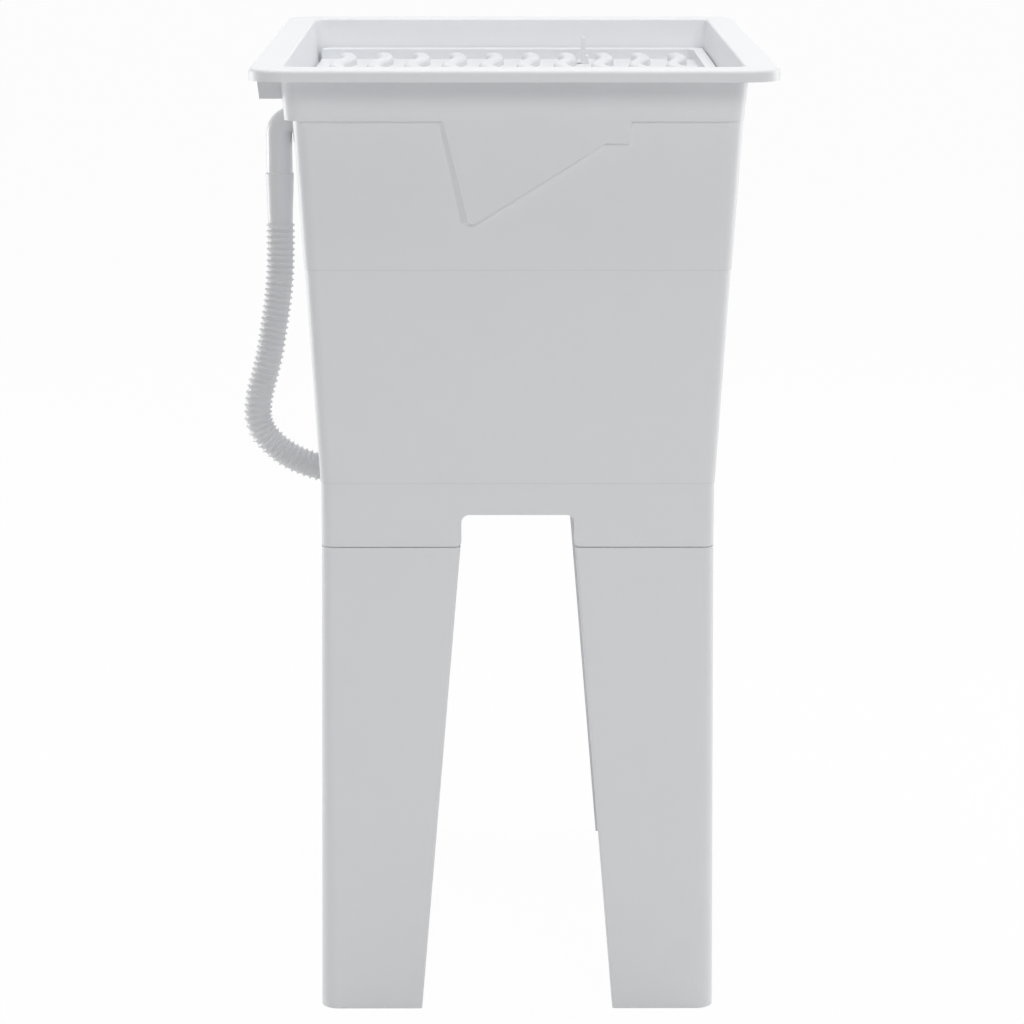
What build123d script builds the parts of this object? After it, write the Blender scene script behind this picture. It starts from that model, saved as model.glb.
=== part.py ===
from build123d import *
from math import pi, tan
import os

# Utility laundry sink: a deep moulded tub on a frame with four tapered legs,
# a lift-off washboard in the mouth, a waste with plug and a hose overflow.
# Frame: +Z up, origin on the floor under the middle of the rim,
# +X towards the user, -X towards the wall. All lengths in millimetres.

# ---------------------------------------------------------------- driving dimensions
# heights that add up to the rim
leg_height = 430.0            # floor to the seam under the frame
frame_height = 57.0           # seam to the seat of the tub
body_height = 317.0           # seat of the tub to the step under the skirt
skirt_height = 46.0           # step to the top of the rim

# rim
rim_width = 450.0             # along X
rim_length = 600.0            # along Y
rim_corner = 30.0
rim_thickness = 4.0
rim_edge = 3.0                # rounding of the outer top edge
rim_inner_edge = 2.0          # rounding into the mouth
lip_drop = 10.0
lip_wall = 3.5
overhang_x = 25.4             # lip to skirt
overhang_y = 31.0
gusset_thickness = 3.0
gusset_pitch = 90.0

# tub shell
wall = 4.0
skirt_draft_x = 3.2           # per side, over the skirt
skirt_draft_y = 1.6
skirt_corner = 16.0
ledge_thickness = 4.0
body_shift = 3.4              # body, frame and legs sit this far towards the user
body_top_width = 385.2
body_top_length = 528.0
body_top_corner = 14.0
base_width = 345.9
base_length = 515.0
base_corner = 10.5
waist_drop = 128.5            # fine line round the body, below the step
waist_step = 0.7
base_ring = 6.0               # wall that reaches below the floor
floor_fall = 8.0              # slope of the floor towards the waste
floor_corner = 6.0

# pockets in the side walls that hold the washboard aslant
pocket_rear_x = -60.5         # rear end at the step
pocket_tip_x = -38.2
pocket_slope_x = 77.9         # where the slope meets the flat
pocket_front_x = 97.5
pocket_tip_drop = 91.0        # below the step
pocket_flat_drop = 18.8
pocket_front_flare = 2.3
pocket_ramp = 1.2             # slope of the rear edge into the wall
pocket_bevel = 0.2            # slope of the other edges
pocket_tip_round = 5.0
pocket_reach = 13.0           # depth of its solid behind the skirt

# hooks for the wall, moulded under the rear rim
hook_width = 50.0             # along Y
hook_spacing = 450.0          # between the two hooks
hook_depth = 20.1             # behind the skirt
hook_press = 1.5              # runs this far into the skirt
hook_drop = 18.6              # below the lip
hook_draft = 2.2
hook_wall = 3.0
hook_slot = 5.6               # takes the shank of a wall screw
hook_slot_rise = 12.0

# frame under the tub
frame_inset = 0.5             # behind the wall of the tub
frame_corner = 10.0
frame_wall = 4.0
shelf_width = 26.0
side_arch_width = 99.0
end_arch_width = 268.0
arch_rise = 28.5
arch_corner = 7.0
arch_flare = 5.0
socket_wall = 3.5
socket_drop = 48.0            # below the shelf
socket_reach = 92.0

# legs
leg_wall = 4.0
leg_top_width = 122.1
leg_foot_width = 91.3
leg_foot_corner = 16.0
leg_seam = 1.2                # open line between the frame and the outside of a leg
leg_return = 13.0             # return flange along the free edge
leg_edge = 2.5                # rounding of the free edge
leg_splay_x = 5.0
leg_splay_y = 2.0
leg_shoulder = 4.0
tongue_wall = 4.0
tongue_height = 32.0
tongue_reach = 84.0
tongue_gap = 0.3
tongue_lead = 1.0             # chamfer that leads it into the frame

# screws
leg_screw_diameter = 4.0
leg_screw_head = 8.0
leg_screw_offset = 62.0       # from the corner of the frame
leg_screw_rise = 18.0         # above the seam
seat_screw_diameter = 4.0
seat_screw_head = 8.0
seat_screw_grip = 5.0         # length inside the tub
seat_screw_pitch = 170.0
seat_screw_edge = 19.0        # from the outside of the frame
boss_diameter = 12.0
screw_head_height = 2.6
screw_slot = 1.0
screw_clearance = 0.25

# washboard
board_clearance = 0.5         # sides and front, at the ledge
board_rear_gap = 3.0
board_wall = 3.5
board_rise = 13.5             # ledge to the top of the border
board_edge = 1.5
board_draft = 2.0             # degrees, wider towards the top as the mouth is
border_side = 25.0            # width of the border along the two sides
border_front = 10.5
field_corner = 10.0
field_drop = 9.5              # border down to the ribbed field
rib_count = 10
rib_pitch = 36.0
rib_width = 14.0
rib_height = 8.0
rib_swing = 5.0               # sideways, each way
rib_half_waves = 6
rib_length = 446.0
rib_shift = -2.0              # middle of the row
rib_end_round = 5.6
rib_round = 4.6
stiffener_count = 4
stiffener_height = 4.0
stiffener_thickness = 3.0

# pull tab of the washboard
tab_x = 70.5                  # middle of the upright
tab_y = 190.0
tab_thickness = 4.2
tab_depth = 11.0
tab_height = 26.0             # above the field
tab_foot = 7.0                # width of the block at its root
tab_foot_height = 8.0
tab_opening = 6.0             # open slot beside the upright
tab_margin = 0.4              # at the other edges of the slot
tab_barb = 2.0
tab_edge = 0.8

# running gap round and under pieces that lift out
running_gap = 0.3

# waste
drain_hole = 54.0
drain_seat = 84.0             # flat part of the floor
drain_seat_corner = 34.0
flange_diameter = 72.0
flange_thickness = 2.5
bowl_diameter = 50.0
bowl_depth = 17.0
bowl_wall = 2.5
strainer_holes = 6
strainer_hole = 9.0
strainer_ring = 14.0
waste_screw_diameter = 6.0
waste_screw_head = 12.0
waste_screw_head_height = 3.0
waste_screw_length = 26.0
seal_thickness = 3.0
waste_rim_diameter = 74.0
cup_diameter = 60.0
cup_height = 52.0
waste_wall = 3.0
outlet_diameter = 47.8        # inch and a half pipe thread, over the crests
outlet_length = 19.0
outlet_neck = 45.0            # where the outlet stands in the floor of the cup
outlet_bore = 40.0
hub_diameter = 13.0
hub_height = 26.0
spoke_thickness = 4.0
spoke_height = 10.0
spigot_diameter = 21.0
spigot_bore = 16.0
spigot_length = 34.0
spigot_drop = 40.0            # centre of the spigot below the top of the body

# plug
plug_diameter = 52.0
plug_rim = 2.5
plug_depth = 10.0
plug_taper = 1.2
plug_grip_thickness = 5.0
plug_grip_width = 22.0
plug_grip_height = 14.0
plug_grip_hole = 5.0

# overflow
overflow_drop = 26.8          # centre below the step
overflow_hole = 28.0
overflow_pad = 50.0
pad_proud = 1.3               # outer face of the pad behind the body at the step
pad_thickness = 5.5
grille_diameter = 46.0
grille_thickness = 3.0
grille_slots = 7
grille_slot = 2.6
grille_slot_pitch = 5.2
grille_border = 4.5
overflow_screw_diameter = 5.0
overflow_screw_head = 10.0
overflow_screw_length = 19.0
washer_thickness = 2.0
collar_diameter = 46.0
collar_thickness = 11.0
collar_wall = 3.0
collar_grips = 16
collar_grip_depth = 1.0
overflow_hub = 11.0
pipe_diameter = 24.2
pipe_bore = 18.0
pipe_x = -217.5               # axis of the hanging pipe
pipe_drop = 49.0              # overflow centre to the shoulder on the hose cuff
pipe_bend = 13.4
pipe_end = 21.0
pipe_end_length = 30.0
cuff_diameter = 26.4
cuff_end_diameter = 23.0
cuff_length = 47.0
cuff_bevel = 1.2
lower_cuff_diameter = 29.0
lower_cuff_length = 44.0
cuff_overlap = 30.0           # length of the spigot inside it

# overflow hose, over its rings
hose_diameter = 27.0
# route of the hose between its two cuffs, in the XZ plane, as it hangs behind the tub
hose_route = [
    (-217.5, 650.0),
    (-219.6, 617.0),
    (-224.9, 583.0),
    (-230.6, 549.0),
    (-242.0, 511.0),
    (-241.0, 484.0),
    (-219.5, 461.5),
    (-194.0, 449.0),
    (-164.0, 442.0),
    (-134.0, 440.5),
    (-104.0, 442.0),
]

# ---------------------------------------------------------------- derived places
base_z = leg_height + frame_height
step_z = base_z + body_height
rim_top = step_z + skirt_height
lip_z = rim_top - lip_drop
ledge_z = step_z + ledge_thickness
waist_z = step_z - waist_drop
floor_z = base_z + base_ring + wall - floor_fall
shelf_z = base_z - frame_wall
skirt_width = rim_width - 2 * overhang_x
skirt_length = rim_length - 2 * overhang_y
skirt_low_width = skirt_width - 2 * skirt_draft_x
skirt_low_length = skirt_length - 2 * skirt_draft_y
hook_rear_x = -skirt_width / 2 - hook_depth
hook_front_x = -skirt_width / 2 + hook_press
frame_width = base_width - 2 * frame_inset
frame_length = base_length - 2 * frame_inset
tongue_offset = frame_wall + tongue_gap
socket_offset = tongue_offset + tongue_wall + tongue_gap
board_z = ledge_z + running_gap
board_front_x = skirt_low_width / 2 - wall - board_clearance
board_rear_x = -skirt_low_width / 2 + wall + board_rear_gap
board_width = board_front_x - board_rear_x
board_length = skirt_low_length - 2 * wall - 2 * board_clearance
board_corner = skirt_corner - wall - board_clearance
field_z = board_z + board_rise - field_drop
field_front_x = board_front_x - border_front
field_length = board_length - 2 * border_side
drain_x = body_shift
flange_top = floor_z + flange_thickness
bowl_z = floor_z - bowl_depth
bowl_floor = bowl_z + bowl_wall
bowl_bore = bowl_diameter - 2 * bowl_wall
seal_z = floor_z - wall - seal_thickness
cup_z = seal_z - cup_height
cup_bore = cup_diameter - 2 * waste_wall
spigot_z = seal_z - spigot_drop
spigot_x = drain_x - cup_diameter / 2 - spigot_length
lower_cuff_x = spigot_x + cuff_overlap - lower_cuff_length
plug_z = flange_top + running_gap
overflow_z = step_z - overflow_drop
pad_x = body_shift - body_top_width / 2 - pad_proud
seat_x = pad_x + pad_thickness
collar_x = pad_x - washer_thickness
elbow_x = collar_x - collar_thickness
shoulder_z = overflow_z - pipe_drop
cuff_z = shoulder_z - cuff_length

os.makedirs("parts", exist_ok=True)


def save(builder, name):
    builder.part.label = name
    export_step(builder.part, f"parts/{name}.step")
    print(f"{name}: {len(builder.part.solids())} solid(s), {builder.part.volume / 1000:.1f} cm3")


def section(width, length, corner, height, shift=0.0):
    """A rounded rectangle at one height, as a section of a loft."""
    with BuildSketch(Plane.XY.offset(height)) as outline:
        with Locations((shift, 0)):
            RectangleRounded(width, length, corner)
    return outline.sketch


def between(low, high, share):
    return low + (high - low) * share


def body_section(height, inset=0.0):
    """The outside of the tapered body at one height, moved in by inset."""
    share = (height - base_z) / body_height
    width = between(base_width, body_top_width, share)
    length = between(base_length, body_top_length, share)
    corner = between(base_corner, body_top_corner, share)
    return section(width - 2 * inset, length - 2 * inset, corner - inset, height, body_shift)


def skirt_section(height, inset=0.0):
    """The outside of the skirt at one height, moved in by inset."""
    share = (height - step_z) / (lip_z - step_z)
    width = between(skirt_low_width, skirt_width, share)
    length = between(skirt_low_length, skirt_length, share)
    return section(width - 2 * inset, length - 2 * inset, skirt_corner - inset, height)


def pocket_section(side, depth, inset, top):
    """A side pocket on a plane this deep behind the skirt, moved in by inset."""
    shift = depth * pocket_ramp
    spread = depth * pocket_bevel
    tip_z = step_z - pocket_tip_drop
    flat_z = step_z - pocket_flat_drop
    with BuildSketch(Plane.XZ.offset(-side * (skirt_low_length / 2 - depth))) as outline:
        with BuildLine():
            Polyline(
                (pocket_rear_x - shift, top + inset),
                (pocket_rear_x - shift, step_z),
                (pocket_tip_x - shift, tip_z - spread),
                (pocket_slope_x + spread, flat_z - spread),
                (pocket_front_x + spread, flat_z - spread),
                (pocket_front_x + pocket_front_flare + spread, step_z),
                (pocket_front_x + pocket_front_flare + spread, top + inset),
                close=True,
            )
        make_face()
        if inset:
            offset(amount=-inset, kind=Kind.INTERSECTION)
        fillet(outline.vertices().sort_by(Axis.Y)[0], pocket_tip_round)
    return outline.sketch


# ---------------------------------------------------------------- tub
# the space inside: sloping floor, tapered walls, then the mouth above the ledge
with BuildPart() as cavity:
    floor_rim_z = floor_z + floor_fall
    loft(
        [
            section(drain_seat, drain_seat, drain_seat_corner, floor_z, drain_x),
            body_section(floor_rim_z, wall),
        ],
        ruled=True,
    )
    loft([body_section(floor_rim_z, wall), body_section(ledge_z, wall)], ruled=True)
    fillet(
        cavity.edges().filter_by_position(Axis.Z, floor_rim_z - floor_fall / 9, floor_rim_z + floor_fall / 9),
        floor_corner,
    )
    loft([skirt_section(ledge_z, wall), skirt_section(rim_top, wall)], ruled=True)

with BuildPart() as tub:
    # rim: a slab with a rounded edge, hollow under its flange so that a lip hangs round it
    with BuildSketch(Plane.XY.offset(lip_z)):
        RectangleRounded(rim_width, rim_length, rim_corner)
    extrude(amount=lip_drop)
    fillet(tub.edges().group_by(Axis.Z)[-1], rim_edge)
    with BuildSketch(Plane.XY.offset(lip_z)):
        RectangleRounded(rim_width - 2 * lip_wall, rim_length - 2 * lip_wall, rim_corner - lip_wall)
        RectangleRounded(skirt_width, skirt_length, skirt_corner, mode=Mode.SUBTRACT)
        # gussets between skirt and lip
        with GridLocations(rim_width - overhang_x, gusset_pitch, 2, 5):
            Rectangle(overhang_x, gusset_thickness, mode=Mode.SUBTRACT)
        with GridLocations(gusset_pitch, rim_length - overhang_y, 4, 2):
            Rectangle(gusset_thickness, overhang_y, mode=Mode.SUBTRACT)
    extrude(amount=lip_drop - rim_thickness, mode=Mode.SUBTRACT)

    # skirt, then the tapered body with its fine step
    loft([skirt_section(lip_z), skirt_section(step_z)], ruled=True)
    loft([body_section(step_z), body_section(waist_z)], ruled=True)
    loft([body_section(waist_z, waist_step), body_section(base_z)], ruled=True)

    # below the floor only a ring of wall is left, and the floor slopes down inside it
    extrude(body_section(base_z, wall), amount=base_ring, mode=Mode.SUBTRACT)
    loft(
        [
            section(drain_seat, drain_seat, drain_seat_corner, floor_z - wall, drain_x),
            body_section(base_z + base_ring, wall),
        ],
        ruled=True,
    )
    with BuildSketch(Plane.XY.offset(base_z)):
        with Locations((body_shift, 0)):
            with GridLocations(frame_width - 2 * seat_screw_edge, seat_screw_pitch, 2, 3):
                Circle(boss_diameter / 2)
    extrude(amount=base_ring + wall / 2)

    # pockets in the sides, flush with the skirt
    for side in (-1, 1):
        loft(
            [
                pocket_section(side, 0, 0, ledge_z - ledge_thickness / 4),
                pocket_section(side, pocket_reach, 0, ledge_z - ledge_thickness / 4),
            ],
            ruled=True,
        )

    # hooks under the rear of the rim
    for end in (-1, 1):
        with BuildSketch(Plane.XZ.offset(-end * hook_spacing / 2)):
            with BuildLine():
                Polyline(
                    (hook_front_x, rim_top - rim_thickness),
                    (hook_rear_x, rim_top - rim_thickness),
                    (hook_rear_x, lip_z),
                    (hook_rear_x + hook_draft, lip_z - hook_drop),
                    (hook_front_x, lip_z - hook_drop),
                    close=True,
                )
            make_face()
        extrude(amount=hook_width / 2, both=True)

    # upright pad for the overflow
    with BuildSketch(Plane.YZ.offset(pad_x)):
        with Locations((0, overflow_z)):
            Circle(overflow_pad / 2)
    extrude(amount=pad_proud + pad_thickness)

    # the inside of the tub and of its pockets, which open through the ledge
    add(cavity.part, mode=Mode.SUBTRACT)
    for side in (-1, 1):
        loft(
            [
                pocket_section(side, wall, wall, ledge_z + ledge_thickness / 4),
                pocket_section(side, pocket_reach, wall, ledge_z + ledge_thickness / 4),
            ],
            ruled=True,
            mode=Mode.SUBTRACT,
        )

    # hooks are hollow from below, with a slot for the wall screw in the rear plate
    for end in (-1, 1):
        with BuildSketch(Plane.XY.offset(lip_z - hook_drop)):
            with Locations((hook_rear_x + hook_draft + hook_wall, end * hook_spacing / 2)):
                Rectangle(
                    hook_depth - hook_draft - hook_wall,
                    hook_width - 2 * hook_wall,
                    align=(Align.MIN, Align.CENTER),
                )
        extrude(amount=hook_drop, mode=Mode.SUBTRACT)
        with BuildSketch(Plane.YZ.offset(hook_rear_x)):
            with Locations((end * hook_spacing / 2, lip_z - hook_drop)):
                SlotCenterPoint((0, 0), (0, hook_slot_rise), hook_slot)
        extrude(amount=hook_draft + hook_wall + hook_press, mode=Mode.SUBTRACT)

    # flat seat for the grille, and the holes
    with BuildSketch(Plane.YZ.offset(seat_x)):
        with Locations((0, overflow_z)):
            Circle(grille_diameter / 2 + running_gap)
    extrude(amount=overflow_pad, mode=Mode.SUBTRACT)
    with BuildSketch(Plane.YZ.offset(pad_x)):
        with Locations((0, overflow_z)):
            Circle(overflow_hole / 2)
    extrude(amount=overflow_pad, mode=Mode.SUBTRACT)
    with BuildSketch(Plane.XY.offset(floor_z - wall)):
        with Locations((drain_x, 0)):
            Circle(drain_hole / 2)
    extrude(amount=wall, mode=Mode.SUBTRACT)
    with BuildSketch(Plane.XY.offset(base_z)):
        with Locations((body_shift, 0)):
            with GridLocations(frame_width - 2 * seat_screw_edge, seat_screw_pitch, 2, 3):
                Circle(seat_screw_diameter / 2)
    extrude(amount=seat_screw_grip + screw_slot, mode=Mode.SUBTRACT)

    # rounding from the rim into the mouth
    mouth_edges = [
        edge
        for edge in tub.edges().group_by(Axis.Z)[-1]
        if abs(edge.center().X) < skirt_width / 2 and abs(edge.center().Y) < skirt_length / 2
    ]
    fillet(mouth_edges, rim_inner_edge)
save(tub, "tub")


# ---------------------------------------------------------------- frame
def frame_section(height, inset):
    """The outside of the frame at one height, moved in by inset."""
    corner = max(frame_corner - inset, leg_edge)
    return section(frame_width - 2 * inset, frame_length - 2 * inset, corner, height, body_shift)


def corner_band(height, offset_in, thickness, reach, end, side):
    """An L-shaped band that runs round the inside of one corner of the frame."""
    corner_x = body_shift + end * frame_width / 2
    corner_y = side * frame_length / 2
    near = offset_in
    far = offset_in + thickness
    places = [(near, near), (reach, near), (reach, far), (far, far), (far, reach), (near, reach)]
    with BuildSketch(Plane.XY.offset(height)) as band:
        with BuildLine():
            Polyline(*[(corner_x - end * u, corner_y - side * v) for u, v in places], close=True)
        make_face()
        by_corner = band.vertices().sort_by_distance((corner_x, corner_y, 0))
        fillet(by_corner[0], max(frame_corner - near, leg_edge))
        by_corner = band.vertices().sort_by_distance((corner_x - end * far, corner_y - side * far, 0))
        fillet(by_corner[0], max(frame_corner - far, leg_edge))
    return band.sketch


def leg_screw_planes(end, side):
    """Seats of the two screws of one leg, on the inner walls of its socket."""
    depth = socket_offset + socket_wall
    height = leg_height + leg_screw_rise
    corner_x = body_shift + end * frame_width / 2
    corner_y = side * frame_length / 2
    return [
        Plane(
            origin=(corner_x - end * depth, corner_y - side * leg_screw_offset, height),
            x_dir=(0, 1, 0),
            z_dir=(-end, 0, 0),
        ),
        Plane(
            origin=(corner_x - end * leg_screw_offset, corner_y - side * depth, height),
            x_dir=(1, 0, 0),
            z_dir=(0, -side, 0),
        ),
    ]


corners = {
    "leg_rear_left": (-1, -1),
    "leg_rear_right": (-1, 1),
    "leg_front_left": (1, -1),
    "leg_front_right": (1, 1),
}

with BuildPart() as leg_frame:
    extrude(frame_section(leg_height, 0), amount=frame_height)
    extrude(frame_section(leg_height, frame_wall), amount=frame_height - frame_wall, mode=Mode.SUBTRACT)
    extrude(frame_section(shelf_z, shelf_width), amount=frame_wall, mode=Mode.SUBTRACT)

    # arches in the four sides
    with BuildSketch(Plane.XZ):
        with Locations((body_shift, leg_height + arch_rise / 2)):
            side_arch = Rectangle(side_arch_width, arch_rise)
        fillet(side_arch.vertices().group_by(Axis.Y)[-1], arch_corner)
    extrude(amount=frame_length, both=True, mode=Mode.SUBTRACT)
    with BuildSketch(Plane.YZ.offset(body_shift)):
        with Locations((0, leg_height + arch_rise / 2)):
            end_arch = Rectangle(end_arch_width, arch_rise)
        fillet(end_arch.vertices().group_by(Axis.Y)[-1], arch_corner)
    extrude(amount=frame_width, both=True, mode=Mode.SUBTRACT)
    arch_feet = [
        edge
        for edge in leg_frame.edges().group_by(Axis.Z)[0]
        if abs(edge.length - frame_wall) < frame_wall / 10
    ]
    fillet(arch_feet, arch_flare)

    # the inner walls of the four sockets hang from the shelf
    for end, side in corners.values():
        extrude(
            corner_band(shelf_z, socket_offset, socket_wall, socket_reach, end, side),
            amount=-socket_drop,
        )
        for screw_plane in leg_screw_planes(end, side):
            with BuildSketch(screw_plane):
                Circle(leg_screw_diameter / 2 + screw_clearance)
            extrude(amount=-socket_wall, mode=Mode.SUBTRACT)

    # holes for the screws up into the tub
    with BuildSketch(Plane.XY.offset(shelf_z)):
        with Locations((body_shift, 0)):
            with GridLocations(frame_width - 2 * seat_screw_edge, seat_screw_pitch, 2, 3):
                Circle(seat_screw_diameter / 2 + screw_clearance)
    extrude(amount=frame_wall, mode=Mode.SUBTRACT)
save(leg_frame, "leg_frame")


# ---------------------------------------------------------------- legs
def leg_section(height, width, corner, splay, end, side):
    """One leg at one height: an L round its corner, with a return flange at each free edge."""
    corner_x = body_shift + end * (frame_width / 2 + splay * leg_splay_x)
    corner_y = side * (frame_length / 2 + splay * leg_splay_y)
    places = [
        (0, 0),
        (width, 0),
        (width, leg_return),
        (width - leg_wall, leg_return),
        (width - leg_wall, leg_wall),
        (leg_wall, leg_wall),
        (leg_wall, width - leg_wall),
        (leg_return, width - leg_wall),
        (leg_return, width),
        (0, width),
    ]
    spots = [(corner_x - end * u, corner_y - side * v, 0) for u, v in places]
    with BuildSketch(Plane.XY.offset(height)) as outline:
        with BuildLine():
            Polyline(*spots, close=True)
        make_face()
        for spot, radius in (
            (spots[0], corner),
            (spots[5], corner - leg_wall),
            (spots[1], leg_edge),
            (spots[9], leg_edge),
        ):
            fillet(outline.vertices().sort_by_distance(spot)[0], radius)
    return outline.sketch


for leg_name, (end, side) in corners.items():
    with BuildPart() as leg:
        loft(
            [
                leg_section(0, leg_foot_width, leg_foot_corner, 1, end, side),
                leg_section(leg_height - leg_seam, leg_top_width, frame_corner, 0, end, side),
            ],
            ruled=True,
        )
        # shoulder that closes the top, and the tongue that enters the frame
        extrude(
            corner_band(
                leg_height,
                leg_wall / 2,
                leg_return - leg_wall,
                leg_top_width - leg_wall / 2,
                end,
                side,
            ),
            amount=-leg_shoulder,
        )
        extrude(
            corner_band(leg_height, tongue_offset, tongue_wall, tongue_reach, end, side),
            amount=tongue_height,
        )
        chamfer(leg.edges().group_by(Axis.Z)[-1], tongue_lead)
        for screw_plane in leg_screw_planes(end, side):
            with BuildSketch(screw_plane):
                Circle(leg_screw_diameter / 2)
            extrude(amount=-(socket_wall + tongue_gap + tongue_wall), mode=Mode.SUBTRACT)
    save(leg, leg_name)

# ---------------------------------------------------------------- screws of the frame
with BuildPart() as leg_screws:
    for end, side in corners.values():
        for screw_plane in leg_screw_planes(end, side):
            with BuildSketch(screw_plane):
                Circle(leg_screw_head / 2)
            extrude(amount=screw_head_height)
            with BuildSketch(screw_plane):
                Circle(leg_screw_diameter / 2)
            extrude(amount=-(socket_wall + tongue_gap + tongue_wall))
            with BuildSketch(screw_plane.offset(screw_head_height)):
                Rectangle(leg_screw_head, screw_slot)
            extrude(amount=-screw_slot, mode=Mode.SUBTRACT)
save(leg_screws, "leg_screws")

with BuildPart() as seat_screws:
    head_plane = Plane.XY.offset(shelf_z - screw_head_height)
    screw_grid = (frame_width - 2 * seat_screw_edge, seat_screw_pitch, 2, 3)
    with BuildSketch(head_plane):
        with Locations((body_shift, 0)):
            with GridLocations(*screw_grid):
                Circle(seat_screw_head / 2)
    extrude(amount=screw_head_height)
    with BuildSketch(head_plane):
        with Locations((body_shift, 0)):
            with GridLocations(*screw_grid):
                Circle(seat_screw_diameter / 2)
    extrude(amount=screw_head_height + frame_wall + seat_screw_grip)
    with BuildSketch(head_plane):
        with Locations((body_shift, 0)):
            with GridLocations(*screw_grid):
                Rectangle(seat_screw_head, screw_slot)
    extrude(amount=screw_slot, mode=Mode.SUBTRACT)
save(seat_screws, "seat_screws")


# ---------------------------------------------------------------- washboard
def board_section(height, inset):
    """The outside of the washboard at one height, moved in by inset."""
    middle = (board_front_x + board_rear_x) / 2
    return section(board_width - 2 * inset, board_length - 2 * inset, board_corner - inset, height, middle)


# one wavy rib: half waves as arcs that swing to one side and the other
half_wave = rib_length / rib_half_waves
wave_ends = [rib_length / 2 - half_wave * count for count in range(rib_half_waves + 1)]
with BuildPart() as rib:
    with BuildSketch(Plane.XY.offset(field_z)) as rib_outline:
        with BuildLine():
            for edge_x in (-rib_width / 2, rib_width / 2):
                for count in range(rib_half_waves):
                    swing = rib_swing if count % 2 == 0 else -rib_swing
                    SagittaArc((edge_x, wave_ends[count]), (edge_x, wave_ends[count + 1]), swing)
            for end_y in (wave_ends[0], wave_ends[-1]):
                Line((-rib_width / 2, end_y), (rib_width / 2, end_y))
        make_face()
        fillet(rib_outline.vertices().group_by(Axis.Y)[0], rib_end_round)
        fillet(rib_outline.vertices().group_by(Axis.Y)[-1], rib_end_round)
    extrude(amount=rib_height)
    fillet(rib.edges().group_by(Axis.Z)[-1], rib_round)

with BuildPart() as washboard:
    extrude(board_section(board_z, 0), amount=board_rise, taper=-board_draft)
    fillet(washboard.edges().group_by(Axis.Z)[-1], board_edge)

    # ribbed field, open towards the wall so that the board drains there
    with BuildSketch(Plane.XY.offset(field_z)):
        with Locations((field_front_x, 0)):
            field = Rectangle(board_width, field_length, align=(Align.MAX, Align.CENTER))
        fillet(field.vertices().group_by(Axis.X)[-1], field_corner)
    extrude(amount=field_drop, mode=Mode.SUBTRACT)

    # hollow from below: a shallow relief, and channels under the border
    extrude(board_section(board_z, board_wall), amount=field_z - board_wall - board_z, mode=Mode.SUBTRACT)
    with BuildSketch(Plane.XY.offset(board_z)):
        add(board_section(board_z, board_wall))
        with Locations((field_front_x + board_wall, 0)):
            Rectangle(
                board_width,
                field_length + 2 * board_wall,
                align=(Align.MAX, Align.CENTER),
                mode=Mode.SUBTRACT,
            )
    extrude(amount=board_rise - board_wall, mode=Mode.SUBTRACT)

    # stiffeners across the underside
    with BuildSketch(Plane.XY.offset(field_z - board_wall)):
        with Locations((rib_shift, 0)):
            with GridLocations(2 * rib_pitch, rib_length, stiffener_count, 1):
                Rectangle(stiffener_thickness, rib_length)
    extrude(amount=-stiffener_height)

    with Locations((rib_shift, 0)):
        with GridLocations(rib_pitch, rib_length, rib_count, 1):
            add(rib.part)

    # slot of the pull tab, wider than the tab on one side
    slot_x = tab_x - tab_thickness / 2 - tab_opening
    slot_width = tab_opening + tab_foot + tab_margin
    slot_length = tab_depth + 2 * tab_margin
    with BuildSketch(Plane.XY.offset(field_z - board_wall)):
        with Locations((slot_x, tab_y)):
            Rectangle(slot_width, slot_length, align=(Align.MIN, Align.CENTER))
    extrude(amount=board_wall, mode=Mode.SUBTRACT)
save(washboard, "washboard")

with BuildPart() as pull_tab:
    # plate that holds it under the field
    with BuildSketch(Plane.XY.offset(field_z - board_wall)):
        with Locations((tab_x - tab_thickness / 2, tab_y)):
            Rectangle(
                tab_foot + tab_margin + tab_barb,
                slot_length + 2 * tab_barb,
                align=(Align.MIN, Align.CENTER),
            )
    extrude(amount=-tab_barb)
    # block at the root of the slender upright
    with BuildSketch(Plane.XY.offset(field_z - board_wall)):
        with Locations((tab_x - tab_thickness / 2, tab_y)):
            Rectangle(tab_foot, tab_depth, align=(Align.MIN, Align.CENTER))
    extrude(amount=board_wall + tab_foot_height)
    fillet(pull_tab.edges().group_by(Axis.Z)[-1], tab_edge)
    with BuildSketch(Plane.XY.offset(field_z - board_wall)):
        with Locations((tab_x, tab_y)):
            Rectangle(tab_thickness, tab_depth)
    extrude(amount=board_wall + tab_height)
    fillet(pull_tab.edges().group_by(Axis.Z)[-1], tab_edge)
save(pull_tab, "pull_tab")


# ---------------------------------------------------------------- waste
def disc(height, diameter, rise, mode=Mode.ADD):
    """A disc on the axis of the waste, from this height upwards."""
    with BuildSketch(Plane.XY.offset(height)) as outline:
        with Locations((drain_x, 0)):
            Circle(diameter / 2)
    extrude(outline.sketch, amount=rise, mode=mode)


with BuildPart() as strainer:
    disc(floor_z, flange_diameter, flange_thickness)
    fillet(strainer.edges().group_by(Axis.Z)[-1], flange_thickness / 2)
    disc(bowl_z, bowl_diameter, bowl_depth)
    disc(bowl_floor, bowl_bore, bowl_depth - bowl_wall + flange_thickness, Mode.SUBTRACT)
    with BuildSketch(Plane.XY.offset(bowl_z)):
        with Locations((drain_x, 0)):
            Circle(waste_screw_diameter / 2 + screw_clearance)
            with PolarLocations(strainer_ring, strainer_holes):
                Circle(strainer_hole / 2)
    extrude(amount=bowl_wall, mode=Mode.SUBTRACT)
save(strainer, "strainer")

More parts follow.
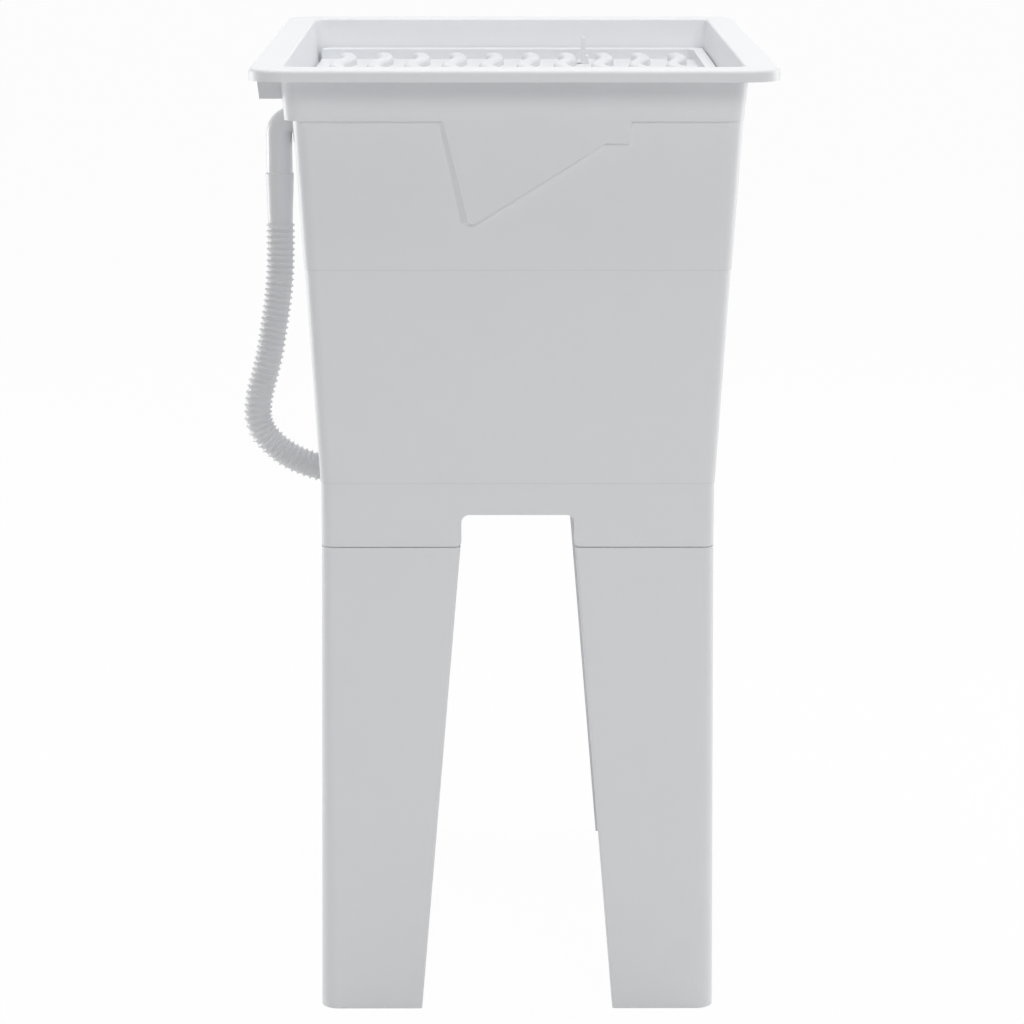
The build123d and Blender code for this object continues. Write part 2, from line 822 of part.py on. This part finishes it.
with BuildPart() as waste_screw:
    disc(bowl_floor, waste_screw_head, waste_screw_head_height)
    fillet(waste_screw.edges().group_by(Axis.Z)[-1], waste_screw_head_height / 2)
    disc(bowl_floor - waste_screw_length, waste_screw_diameter, waste_screw_length)
    with BuildSketch(Plane.XY.offset(bowl_floor + waste_screw_head_height)):
        with Locations((drain_x, 0)):
            Rectangle(waste_screw_head, screw_slot)
    extrude(amount=-screw_slot, mode=Mode.SUBTRACT)
save(waste_screw, "waste_screw")

with BuildPart() as waste_seal:
    disc(seal_z, waste_rim_diameter, seal_thickness)
    disc(seal_z, drain_hole, seal_thickness, Mode.SUBTRACT)
save(waste_seal, "waste_seal")

with BuildPart() as waste_body:
    disc(seal_z - waste_wall, waste_rim_diameter, waste_wall)
    disc(cup_z, cup_diameter, cup_height)
    fillet(waste_body.edges().group_by(Axis.Z)[0], waste_wall)
    # spigot for the overflow hose
    with BuildSketch(Plane.YZ.offset(spigot_x)):
        with Locations((0, spigot_z)):
            Circle(spigot_diameter / 2)
    extrude(amount=spigot_length + waste_wall)
    disc(cup_z + waste_wall, cup_bore, cup_height - waste_wall, Mode.SUBTRACT)
    disc(cup_z, outlet_neck, waste_wall, Mode.SUBTRACT)
    with BuildSketch(Plane.YZ.offset(spigot_x)):
        with Locations((0, spigot_z)):
            Circle(spigot_bore / 2)
    extrude(amount=spigot_length + 2 * waste_wall, mode=Mode.SUBTRACT)
    # hub on three spokes, which takes the screw of the strainer
    with BuildSketch(Plane.XY.offset(bowl_z - spoke_height)):
        with Locations((drain_x, 0)):
            with PolarLocations(0, 3):
                Rectangle(
                    cup_diameter / 2 - waste_wall / 2,
                    spoke_thickness,
                    align=(Align.MIN, Align.CENTER),
                )
    extrude(amount=spoke_height)
    disc(bowl_z - hub_height, hub_diameter, hub_height)
    disc(bowl_z - hub_height, waste_screw_diameter, hub_height, Mode.SUBTRACT)
save(waste_body, "waste_body")

with BuildPart() as waste_tail:
    disc(cup_z - outlet_length, outlet_diameter, outlet_length)
    disc(cup_z, outlet_neck - 2 * running_gap, waste_wall)
    disc(cup_z - outlet_length, outlet_bore, outlet_length + waste_wall, Mode.SUBTRACT)
save(waste_tail, "waste_tail")

with BuildPart() as plug:
    with BuildSketch(Plane.XZ) as plug_profile:
        with BuildLine():
            Polyline(
                (0, plug_z - plug_depth),
                (bowl_bore / 2 - running_gap - plug_taper, plug_z - plug_depth),
                (bowl_bore / 2 - running_gap, plug_z),
                (plug_diameter / 2, plug_z),
                (plug_diameter / 2, plug_z + plug_rim),
                (0, plug_z + plug_rim),
                close=True,
            )
        make_face()
        fillet(plug_profile.vertices().sort_by_distance((plug_diameter, plug_z + plug_diameter, 0))[0], plug_rim / 2)
    revolve(axis=Axis.Z)
    with BuildSketch(Plane.XZ) as plug_grip:
        with Locations((0, plug_z + plug_rim)):
            Rectangle(plug_grip_width, 2 * plug_grip_height)
        fillet(plug_grip.vertices().group_by(Axis.Y)[-1], plug_grip_width / 3)
        with Locations((0, plug_z + plug_rim)):
            Rectangle(plug_grip_width, plug_grip_height, align=(Align.CENTER, Align.MAX), mode=Mode.SUBTRACT)
        with Locations((0, plug_z + plug_rim + plug_grip_height / 2)):
            Circle(plug_grip_hole / 2, mode=Mode.SUBTRACT)
    extrude(amount=plug_grip_thickness / 2, both=True)
plug.part.locate(Location((drain_x, 0, 0)))
save(plug, "plug")


# ---------------------------------------------------------------- overflow
def bore(start_x, diameter, run, mode=Mode.ADD):
    """A cylinder on the axis of the overflow, from this place towards the user."""
    with BuildSketch(Plane.YZ.offset(start_x)) as outline:
        with Locations((0, overflow_z)):
            Circle(diameter / 2)
    extrude(outline.sketch, amount=run, mode=mode)


with BuildPart() as overflow_grille:
    bore(seat_x, grille_diameter, grille_thickness)
    fillet(overflow_grille.edges().group_by(Axis.X)[-1], grille_thickness / 4)
    # slots inside a round border, with the middle left for the screw
    with BuildSketch(Plane.YZ.offset(seat_x)):
        with Locations((0, overflow_z)):
            with GridLocations(grille_slot_pitch, grille_diameter, grille_slots, 1):
                Rectangle(grille_slot, grille_diameter)
            Circle(grille_diameter / 2 - grille_border, mode=Mode.INTERSECT)
            Circle(overflow_screw_head / 2 + grille_slot / 2, mode=Mode.SUBTRACT)
            Circle(overflow_screw_diameter / 2 + screw_clearance)
    extrude(amount=grille_thickness, mode=Mode.SUBTRACT)
save(overflow_grille, "overflow_grille")

with BuildPart() as overflow_screw:
    grille_x = seat_x + grille_thickness
    bore(grille_x, overflow_screw_head, screw_head_height)
    fillet(overflow_screw.edges().group_by(Axis.X)[-1], screw_head_height / 2)
    bore(grille_x - overflow_screw_length, overflow_screw_diameter, overflow_screw_length)
    with BuildSketch(Plane.YZ.offset(grille_x + screw_head_height)):
        with Locations((0, overflow_z)):
            Rectangle(overflow_screw_head, screw_slot)
    extrude(amount=-screw_slot, mode=Mode.SUBTRACT)
save(overflow_screw, "overflow_screw")

with BuildPart() as overflow_washer:
    bore(collar_x, collar_diameter, washer_thickness)
    bore(collar_x, overflow_hole, washer_thickness, Mode.SUBTRACT)
save(overflow_washer, "overflow_washer")

with BuildPart() as overflow_elbow:
    # clamping collar with a gripped edge
    bore(elbow_x, collar_diameter, collar_thickness)
    fillet(overflow_elbow.edges().group_by(Axis.X)[0], collar_wall)
    with BuildSketch(Plane.YZ.offset(elbow_x)):
        with Locations((0, overflow_z)):
            with PolarLocations(collar_diameter / 2, collar_grips):
                Circle(collar_grip_depth)
    extrude(amount=collar_thickness, mode=Mode.SUBTRACT)
    bore(elbow_x + collar_wall, overflow_hole, collar_thickness, Mode.SUBTRACT)
    bore(elbow_x, pipe_bore, collar_thickness, Mode.SUBTRACT)
    # pipe that turns down, and the end that enters the cuff
    with BuildLine() as elbow_path:
        FilletPolyline(
            (elbow_x, 0, overflow_z),
            (pipe_x, 0, overflow_z),
            (pipe_x, 0, shoulder_z),
            radius=pipe_bend,
        )
    with BuildSketch(Plane.YZ.offset(elbow_x)):
        with Locations((0, overflow_z)):
            Circle(pipe_diameter / 2)
            Circle(pipe_bore / 2, mode=Mode.SUBTRACT)
    sweep(path=elbow_path.wire())
    with BuildSketch(Plane.XY.offset(shoulder_z - pipe_end_length)):
        with Locations((pipe_x, 0)):
            Circle(pipe_end / 2)
            Circle(pipe_bore / 2, mode=Mode.SUBTRACT)
    extrude(amount=pipe_end_length)
    # hub on a web, which takes the screw of the grille
    with BuildSketch(Plane.YZ.offset(elbow_x + collar_wall)):
        with Locations((0, overflow_z)):
            Rectangle(spoke_thickness, overflow_hole + collar_wall)
            Circle(overflow_hub / 2)
            Circle(overflow_screw_diameter / 2, mode=Mode.SUBTRACT)
    extrude(amount=collar_thickness - 2 * collar_wall)
save(overflow_elbow, "overflow_elbow")

with BuildPart() as upper_cuff:
    with BuildSketch(Plane.XZ):
        with BuildLine():
            Polyline(
                (pipe_end / 2, shoulder_z),
                (cuff_diameter / 2 - cuff_bevel, shoulder_z),
                (cuff_diameter / 2, shoulder_z - cuff_bevel),
                (cuff_end_diameter / 2, cuff_z),
                (pipe_bore / 2, cuff_z),
                (pipe_bore / 2, shoulder_z - pipe_end_length),
                (pipe_end / 2, shoulder_z - pipe_end_length),
                close=True,
            )
        make_face()
    revolve(axis=Axis.Z)
upper_cuff.part.locate(Location((pipe_x, 0, 0)))
save(upper_cuff, "upper_cuff")

with BuildPart() as lower_cuff:
    with BuildSketch(Plane.YZ.offset(lower_cuff_x)):
        with Locations((0, spigot_z)):
            Circle(lower_cuff_diameter / 2)
    extrude(amount=lower_cuff_length)
    chamfer(lower_cuff.edges().group_by(Axis.X)[-1], cuff_bevel)
    with BuildSketch(Plane.YZ.offset(spigot_x)):
        with Locations((0, spigot_z)):
            Circle(spigot_diameter / 2)
    extrude(amount=cuff_overlap, mode=Mode.SUBTRACT)
    with BuildSketch(Plane.YZ.offset(lower_cuff_x)):
        with Locations((0, spigot_z)):
            Circle(spigot_bore / 2)
    extrude(amount=lower_cuff_length, mode=Mode.SUBTRACT)
save(lower_cuff, "lower_cuff")

# hose: straight runs joined by arcs as large as the runs allow
hose_points = [(pipe_x, cuff_z), *hose_route, (lower_cuff_x, spigot_z)]
hose_spots = [Vector(x, 0, z) for x, z in hose_points]
hose_radii = []
for before, corner, after in zip(hose_spots, hose_spots[1:], hose_spots[2:]):
    run_in = corner - before
    run_out = after - corner
    half_turn = run_in.get_angle(run_out) / 2 * pi / 180
    hose_radii.append(0.45 * min(run_in.length, run_out.length) / tan(half_turn))

with BuildPart() as overflow_hose:
    with BuildLine() as hose_path:
        FilletPolyline(*hose_spots, radius=hose_radii)
    with BuildSketch(Plane(origin=hose_spots[0], z_dir=hose_spots[1] - hose_spots[0])):
        Circle(hose_diameter / 2)
    sweep(path=hose_path.wire())
save(overflow_hose, "overflow_hose")
hose_length = hose_path.wire().length
print("hose radii", [round(radius) for radius in hose_radii])
print(f"hose length {hose_length:.1f} mm")
print(f"section times length {pi / 4 * hose_diameter**2 * hose_length / 1000:.1f} cm3")
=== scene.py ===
import bpy
import bmesh
from math import radians
from mathutils import Matrix, Vector


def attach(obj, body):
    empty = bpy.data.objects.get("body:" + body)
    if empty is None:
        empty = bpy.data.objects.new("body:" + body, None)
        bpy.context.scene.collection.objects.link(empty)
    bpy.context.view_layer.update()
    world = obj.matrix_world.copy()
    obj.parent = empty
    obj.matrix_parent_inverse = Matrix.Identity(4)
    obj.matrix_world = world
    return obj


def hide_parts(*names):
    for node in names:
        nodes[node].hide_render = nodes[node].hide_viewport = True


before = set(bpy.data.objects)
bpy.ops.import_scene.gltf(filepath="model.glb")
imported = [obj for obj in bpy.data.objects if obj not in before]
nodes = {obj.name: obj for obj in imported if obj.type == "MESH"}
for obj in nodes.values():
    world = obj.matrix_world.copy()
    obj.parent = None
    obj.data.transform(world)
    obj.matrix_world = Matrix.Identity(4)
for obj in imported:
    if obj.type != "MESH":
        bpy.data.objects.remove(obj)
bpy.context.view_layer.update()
millimetre = 0.001
print("frame loaded:", len(nodes), "nodes")


# the camera, solved from the rim, the step, the seams and the feet in the photo
camera = {
    "place": (-0.01615, -3.05158, 1.10164),
    "pitchDown": 12.907,  # degrees
    "yawToFront": 0.297,
    "roll": 0.042,
    "lens": 115.08,
    "sensorWidth": 36,
    "sight": 200,
}


def placeCamera():
    data = bpy.data.cameras.new("camera")
    data.lens = camera["lens"]
    data.sensor_width = camera["sensorWidth"]
    data.clip_end = camera["sight"]
    obj = bpy.data.objects.new("camera", data)
    bpy.context.scene.collection.objects.link(obj)
    turn = (
        Matrix.Rotation(-radians(camera["yawToFront"]), 4, "Z")
        @ Matrix.Rotation(radians(90 - camera["pitchDown"]), 4, "X")
        @ Matrix.Rotation(radians(camera["roll"]), 4, "Z")
    )
    obj.matrix_world = Matrix.Translation(camera["place"]) @ turn
    bpy.context.scene.camera = obj


def finishMesh(bm, name, smooth=True):
    bmesh.ops.recalc_face_normals(bm, faces=bm.faces)
    mesh = bpy.data.meshes.new(name)
    bm.to_mesh(mesh)
    bm.free()
    for face in mesh.polygons:
        face.use_smooth = smooth
    obj = bpy.data.objects.new(name, mesh)
    bpy.context.scene.collection.objects.link(obj)
    return obj


# shader nodes: an input is given a number, a colour or the output of another node
def feed(tree, socket, value):
    if isinstance(value, bpy.types.NodeSocket):
        tree.links.new(value, socket)
    else:
        socket.default_value = value


def addNode(tree, kind, inputs, **settings):
    node = tree.nodes.new(kind)
    for key, value in settings.items():
        setattr(node, key, value)
    for key, value in inputs.items():
        feed(tree, node.inputs[key], value)
    return node


def addMath(tree, operation, *values):
    return addNode(tree, "ShaderNodeMath", dict(enumerate(values)), operation=operation).outputs[0]


def scaleColour(tree, colour, factor):
    inputs = {0: colour, "Scale": factor}
    return addNode(tree, "ShaderNodeVectorMath", inputs, operation="SCALE").outputs[0]


def makeGroup(name, numbers, outputs):
    # each group works on a place and a colour, with a few numbers of its own
    tree = bpy.data.node_groups.new(name, "ShaderNodeTree")
    face = tree.interface
    face.new_socket("Vector", in_out="INPUT", socket_type="NodeSocketVector")
    for label, value in numbers.items():
        socket = face.new_socket(label, in_out="INPUT", socket_type="NodeSocketFloat")
        socket.default_value = value
    face.new_socket("Colour", in_out="INPUT", socket_type="NodeSocketColor")
    for label, kind in outputs.items():
        face.new_socket(label, in_out="OUTPUT", socket_type="NodeSocket" + kind)
    given = tree.nodes.new("NodeGroupInput").outputs
    result = tree.nodes.new("NodeGroupOutput").inputs
    return tree, given, result


skin = {
    "grainDetail": 3,  # spark-eroded mould texture
    "flowDetail": 2,  # slow waves of cooling plastic
    "flowRise": 3.0,  # against the grain's height of 1
    "patchScale": 34,  # faint handling marks
    "patchDetail": 6,
    "patchRoughness": 0.7,
    "patchMiddle": 0.5,
}


def mouldSkinGroup():
    numbers = {"Grain": 900.0, "Flow": 9.0, "Tint": 0.02, "Gloss": 0.4, "Gloss Spread": 0.08}
    outputs = {"Colour": "Color", "Roughness": "Float", "Height": "Float"}
    tree, given, result = makeGroup("mouldSkin", numbers, outputs)

    def noise(scale, detail, roughness=0.5):
        inputs = {"Vector": given["Vector"], "Scale": scale, "Detail": detail, "Roughness": roughness}
        return addNode(tree, "ShaderNodeTexNoise", inputs).outputs["Fac"]

    grain = noise(given["Grain"], skin["grainDetail"])
    flow = noise(given["Flow"], skin["flowDetail"])
    patch = noise(skin["patchScale"], skin["patchDetail"], skin["patchRoughness"])

    spread = addMath(tree, "SUBTRACT", patch, skin["patchMiddle"])
    rough = addMath(tree, "MULTIPLY_ADD", spread, given["Gloss Spread"], given["Gloss"])
    feed(tree, result["Roughness"], rough)

    marks = addMath(tree, "MULTIPLY", flow, patch)
    darker = addMath(tree, "MULTIPLY", marks, given["Tint"])
    kept = addMath(tree, "SUBTRACT", 1.0, darker)
    feed(tree, result["Colour"], scaleColour(tree, given["Colour"], kept))

    height = addMath(tree, "MULTIPLY_ADD", flow, skin["flowRise"], grain)
    feed(tree, result["Height"], height)
    return tree


seamShadeBreakup = {"scale": 25, "spread": 0.6, "least": 0.7}  # noise in the painted shade line, so it is never quite even


def paintedSeamShadeGroup():
    # painted shade: a fine darker line round a piece at one height, standing in for the shadow under a small
    # step or joint there
    numbers = {"Level": 0.5, "Half Width": 0.0008, "Amount": 0.1}
    tree, given, result = makeGroup("paintedSeamShade", numbers, {"Colour": "Color"})
    split = addNode(tree, "ShaderNodeSeparateXYZ", {0: given["Vector"]})
    above = addMath(tree, "SUBTRACT", split.outputs["Z"], given["Level"])
    off = addMath(tree, "ABSOLUTE", above)

    inputs = {"Vector": given["Vector"], "Scale": seamShadeBreakup["scale"]}
    shadeBreakup = addNode(tree, "ShaderNodeTexNoise", inputs).outputs["Fac"]
    depth = addMath(tree, "MULTIPLY_ADD", shadeBreakup, seamShadeBreakup["spread"], seamShadeBreakup["least"])
    darkest = addMath(tree, "MULTIPLY", depth, given["Amount"])
    kept = addMath(tree, "SUBTRACT", 1.0, darkest)

    inputs = {"Value": off, "From Min": 0.0, "From Max": given["Half Width"], "To Min": kept, "To Max": 1.0}
    shade = addNode(tree, "ShaderNodeMapRange", inputs, interpolation_type="SMOOTHSTEP").outputs[0]
    feed(tree, result["Colour"], scaleColour(tree, given["Colour"], shade))
    return tree


mouldSkin = mouldSkinGroup()
paintedSeamShade = paintedSeamShadeGroup()

# relief in metres; grain and flow are noise scales; a seam is its height, half width and depth of painted
# shade
finishes = {
    "tubWhite": {
        "colour": (0.855, 0.865, 0.885), "tint": 0.03, "gloss": 0.42, "spread": 0.08, "sheen": 0.4,
        "grain": 900, "flow": 9, "relief": 0.00006, "strength": 0.5, "metal": 0.0,
        # painted shade lines: under the tub's bottom edge where it sits on the leg frame, and under its
        # waist step
        "seams": [(0.4868, 0.0010, 0.06), (0.6753, 0.0009, 0.06)],
    },
    "boardWhite": {
        "colour": (0.82, 0.83, 0.85), "tint": 0.03, "gloss": 0.36, "spread": 0.10, "sheen": 0.45,
        "grain": 700, "flow": 12, "relief": 0.00005, "strength": 0.5, "metal": 0.0, "seams": [],
    },
    "fittingWhite": {
        "colour": (0.80, 0.805, 0.82), "tint": 0.05, "gloss": 0.32, "spread": 0.08, "sheen": 0.5,
        "grain": 1200, "flow": 30, "relief": 0.00004, "strength": 0.5, "metal": 0.0, "seams": [],
    },
    "hoseGrey": {
        "colour": (0.80, 0.805, 0.82), "tint": 0.08, "gloss": 0.38, "spread": 0.10, "sheen": 0.45,
        "grain": 1500, "flow": 40, "relief": 0.00004, "strength": 0.5, "metal": 0.0, "seams": [],
    },
    "sealBlack": {
        "colour": (0.016, 0.016, 0.017), "tint": 0.3, "gloss": 0.62, "spread": 0.12, "sheen": 0.4,
        "grain": 1400, "flow": 60, "relief": 0.00008, "strength": 0.5, "metal": 0.0, "seams": [],
    },
    "plugWhite": {
        "colour": (0.68, 0.68, 0.675), "tint": 0.08, "gloss": 0.55, "spread": 0.12, "sheen": 0.35,
        "grain": 1100, "flow": 40, "relief": 0.00008, "strength": 0.5, "metal": 0.0, "seams": [],
    },
    "stainlessSteel": {
        "colour": (0.55, 0.55, 0.545), "tint": 0.25, "gloss": 0.28, "spread": 0.2, "sheen": 0.5,
        "grain": 2080, "flow": 260, "relief": 0.00003, "strength": 1.0, "metal": 1.0, "seams": [],
    },
}


def makeMaterial(name):
    values = finishes[name]
    material = bpy.data.materials.new(name)
    material.use_nodes = True
    tree = material.node_tree
    shader = tree.nodes["Principled BSDF"].inputs
    place = tree.nodes.new("ShaderNodeTexCoord").outputs["Object"]
    inputs = {
        "Vector": place,
        "Grain": values["grain"],
        "Flow": values["flow"],
        "Tint": values["tint"],
        "Gloss": values["gloss"],
        "Gloss Spread": values["spread"],
        "Colour": (*values["colour"], 1),
    }
    surface = addNode(tree, "ShaderNodeGroup", inputs, node_tree=mouldSkin).outputs
    colour = surface["Colour"]
    # each seam darkens the colour in a thin band: painted shade, not dirt
    for level, halfWidth, amount in values["seams"]:
        inputs = {
            "Vector": place,
            "Level": level,
            "Half Width": halfWidth,
            "Amount": amount,
            "Colour": colour,
        }
        colour = addNode(tree, "ShaderNodeGroup", inputs, node_tree=paintedSeamShade).outputs["Colour"]
    inputs = {"Height": surface["Height"], "Distance": values["relief"], "Strength": values["strength"]}
    relief = addNode(tree, "ShaderNodeBump", inputs)
    feed(tree, shader["Base Color"], colour)
    feed(tree, shader["Roughness"], surface["Roughness"])
    feed(tree, shader["Normal"], relief.outputs["Normal"])
    feed(tree, shader["Specular IOR Level"], values["sheen"])
    feed(tree, shader["Metallic"], values["metal"])
    return material


materials = {name: makeMaterial(name) for name in finishes}
print("materials made:", len(materials))


# overflow hose, corrugated from cuff to cuff
hose = {
    "route": [  # x and z in millimetres, from the upper cuff to the lower one
        (-217.5, 681.2),
        (-217.5, 650.0),
        (-219.6, 617.0),
        (-224.9, 583.0),
        (-230.6, 549.0),
        (-242.0, 511.0),
        (-241.0, 484.0),
        (-219.5, 461.5),
        (-194.0, 449.0),
        (-164.0, 442.0),
        (-134.0, 440.5),
        (-104.0, 442.0),
        (-74.6, 442.0),
    ],
    "diameter": 27.0,  # over the rings
    "root": 23.0,
    "pitch": 5.6,
    "around": 40,
    "fineness": 24,  # of the line between two points of the route
    # one ring: share of the pitch, share of the way from root to crest
    "ring": [
        (0.0, 0.0),
        (0.2, 0.06),
        (0.36, 0.44),
        (0.46, 0.96),
        (0.5, 1.0),
        (0.54, 0.96),
        (0.64, 0.44),
        (0.8, 0.06),
    ],
}


def hosePath():
    data = bpy.data.curves.new("hoseLine", "CURVE")
    data.dimensions = "3D"
    data.resolution_u = hose["fineness"]
    spline = data.splines.new("NURBS")
    spline.points.add(len(hose["route"]) - 1)
    for point, (x, z) in zip(spline.points, hose["route"]):
        point.co = (x * millimetre, 0, z * millimetre, 1)
    spline.order_u = 3
    spline.use_endpoint_u = True
    line = bpy.data.objects.new("hoseLine", data)
    bpy.context.scene.collection.objects.link(line)
    mesh = bpy.data.meshes.new_from_object(line)
    points = [vertex.co.copy() for vertex in mesh.vertices]
    bpy.data.meshes.remove(mesh)
    bpy.data.objects.remove(line)
    return points


def alongPath(points, distance):
    # place and direction at a distance along the path
    for start, end in zip(points, points[1:]):
        run = (end - start).length
        if distance <= run or end is points[-1]:
            return start.lerp(end, distance / run), (end - start).normalized()
        distance -= run


def makeHose():
    points = hosePath()
    length = sum((end - start).length for start, end in zip(points, points[1:]))
    rings = round(length / (hose["pitch"] * millimetre))
    pitch = length / rings
    root = hose["root"] / 2 * millimetre
    crest = hose["diameter"] / 2 * millimetre
    stations = [
        (pitch * (turn + share), root + (crest - root) * rise)
        for turn in range(rings)
        for share, rise in hose["ring"]
    ]
    stations.append((length, root))
    bm = bmesh.new()
    loop = bmesh.ops.create_circle(bm, segments=hose["around"], radius=1.0)["verts"]
    edges = list({edge for vertex in loop for edge in vertex.link_edges})
    side = Vector((0, 1, 0))
    unit = [vertex.co.copy() for vertex in loop]
    for count, (distance, radius) in enumerate(stations):
        place, direction = alongPath(points, min(distance, length))
        cross = direction.cross(side)
        turn = Matrix((side * radius, cross * radius, direction)).transposed().to_4x4()
        if count:
            made = bmesh.ops.extrude_edge_only(bm, edges=edges)["geom"]
            loop = [item for item in made if isinstance(item, bmesh.types.BMVert)]
            edges = [item for item in made if isinstance(item, bmesh.types.BMEdge)]
            edges = [edge for edge in edges if all(vertex in loop for vertex in edge.verts)]
            for vertex, spot in zip(loop, unit):  # back to the unit circle, in its own order
                vertex.co = spot
        bmesh.ops.transform(bm, matrix=Matrix.Translation(place) @ turn, verts=loop)
    bmesh.ops.holes_fill(bm, edges=[edge for edge in bm.edges if edge.is_boundary])
    obj = finishMesh(bm, "corrugatedHose")
    obj.data.materials.append(materials["hoseGrey"])
    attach(obj, "sink")
    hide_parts("overflow_hose")
    print("hose:", round(length, 4), "m,", rings, "rings")


placeCamera()
makeHose()


# what each carried-over CAD node is made of
madeOf = {
    "tubWhite": ["tub", "leg_frame", "leg_rear_left", "leg_rear_right", "leg_front_left", "leg_front_right"],
    "boardWhite": ["washboard", "pull_tab"],
    "fittingWhite": ["strainer", "waste_body", "waste_tail", "overflow_grille", "overflow_elbow"],
    "hoseGrey": ["upper_cuff", "lower_cuff"],
    "sealBlack": ["waste_seal", "overflow_washer"],
    "plugWhite": ["plug"],
    "stainlessSteel": ["leg_screws", "seat_screws", "waste_screw", "overflow_screw"],
}

for finish, names in madeOf.items():
    for name in names:
        slots = nodes[name].data.materials
        slots.clear()
        slots.append(materials[finish])
print("finishes given")


# floor, white surroundings and lamps
studio = {
    "floorSize": 60.0,
    "floorColour": (0.9, 0.9, 0.9, 1),
    "floorGlow": 0.97,  # share of plain white that the camera sees
    "worldLight": 0.33,
    "aim": (0, 0, 0.6),
    "lamps": {
        "top": {"size": 2.0, "power": 39.0, "place": (0, 0, 3.2)},
        "front": {"size": 1.1, "power": 25.6, "place": (0.9, -3.2, 2.5)},
        "left": {"size": 1.1, "power": 27.0, "place": (-2.4, 1.15, 0.56)},
        "right": {"size": 1.6, "power": 27.0, "place": (2.5, 1.1, 0.95)},
    },
}


def seenDirectly(tree):
    # 1 for the camera and for reflections, 0 for the light that falls on the sink
    ray = tree.nodes.new("ShaderNodeLightPath").outputs
    return addMath(tree, "MAXIMUM", ray["Is Camera Ray"], ray["Is Glossy Ray"])


def makeFloor():
    bm = bmesh.new()
    bmesh.ops.create_grid(bm, x_segments=1, y_segments=1, size=studio["floorSize"] / 2)
    floor = finishMesh(bm, "floor", smooth=False)
    material = bpy.data.materials.new("paleFloor")
    material.use_nodes = True
    tree = material.node_tree
    tree.nodes.clear()
    matte = addNode(tree, "ShaderNodeBsdfDiffuse", {"Color": studio["floorColour"]}).outputs[0]
    glow = tree.nodes.new("ShaderNodeEmission").outputs[0]
    share = addMath(tree, "MULTIPLY", seenDirectly(tree), studio["floorGlow"])
    mix = addNode(tree, "ShaderNodeMixShader", {0: share, 1: matte, 2: glow}).outputs[0]
    addNode(tree, "ShaderNodeOutputMaterial", {"Surface": mix})
    floor.data.materials.append(material)


def makeWorld():
    world = bpy.data.worlds.new("studio")
    world.use_nodes = True
    bpy.context.scene.world = world
    tree = world.node_tree
    background = tree.nodes["Background"].inputs
    inputs = {"Value": seenDirectly(tree), "To Min": studio["worldLight"], "To Max": 1.0}
    strength = addNode(tree, "ShaderNodeMapRange", inputs).outputs[0]
    feed(tree, background["Color"], (1, 1, 1, 1))
    feed(tree, background["Strength"], strength)


def makeLamp(name, values):
    data = bpy.data.lights.new(name, "AREA")
    data.shape = "SQUARE"
    data.size = values["size"]
    data.energy = values["power"]
    lamp = bpy.data.objects.new(name, data)
    bpy.context.scene.collection.objects.link(lamp)
    lamp.location = values["place"]
    aim = Vector(studio["aim"]) - Vector(values["place"])
    lamp.rotation_euler = aim.to_track_quat("-Z", "Y").to_euler()


makeFloor()
makeWorld()
for name, values in studio["lamps"].items():
    makeLamp(name, values)
bpy.context.scene.view_settings.view_transform = "Standard"
print("studio ready")
